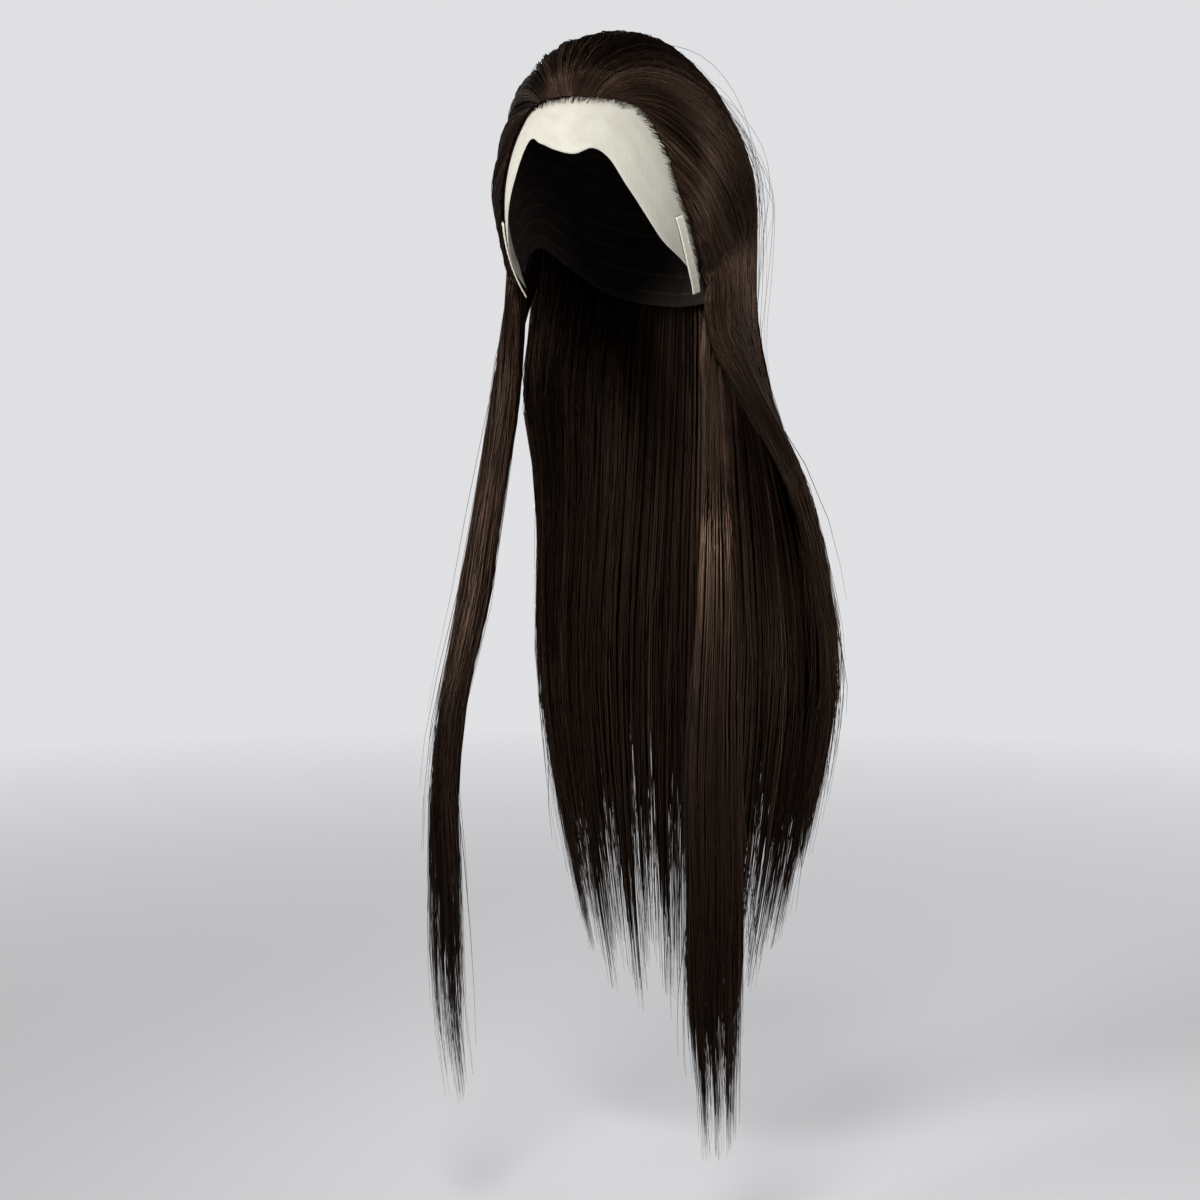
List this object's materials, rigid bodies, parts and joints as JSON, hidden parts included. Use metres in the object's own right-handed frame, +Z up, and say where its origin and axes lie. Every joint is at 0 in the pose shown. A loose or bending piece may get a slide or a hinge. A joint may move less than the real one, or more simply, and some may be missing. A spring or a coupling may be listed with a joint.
{
  "type": "long straight lace-front wig",
  "caption": "Long straight dark brown wig on a cap with a sheer lace front and ear tabs: hair swept back without a parting, locks before the shoulders, the rest down the back.",
  "frame": {"origin": "inside of the crown of the cap, where the top of the head bears", "axes": "+Z up, -Y the way the wearer faces, +X to the wearer's left"},
  "size_m": [0.2469, 0.2162, 0.7827],
  "materials": {
    "net": "dark brown stretch net",
    "lace": "sheer beige lace net",
    "ribbon": "beige woven tape",
    "hair": "straight, silky, very dark brown fibre"
  },
  "bodies": {
    "root": {"cap": "net", "lace_front": "lace", "ear_tab_left": "ribbon", "ear_tab_right": "ribbon", "crown_hair": "hair", "back_hair": "hair", "front_lock_left": "hair", "front_lock_right": "hair"}
  },
  "joints": []
}
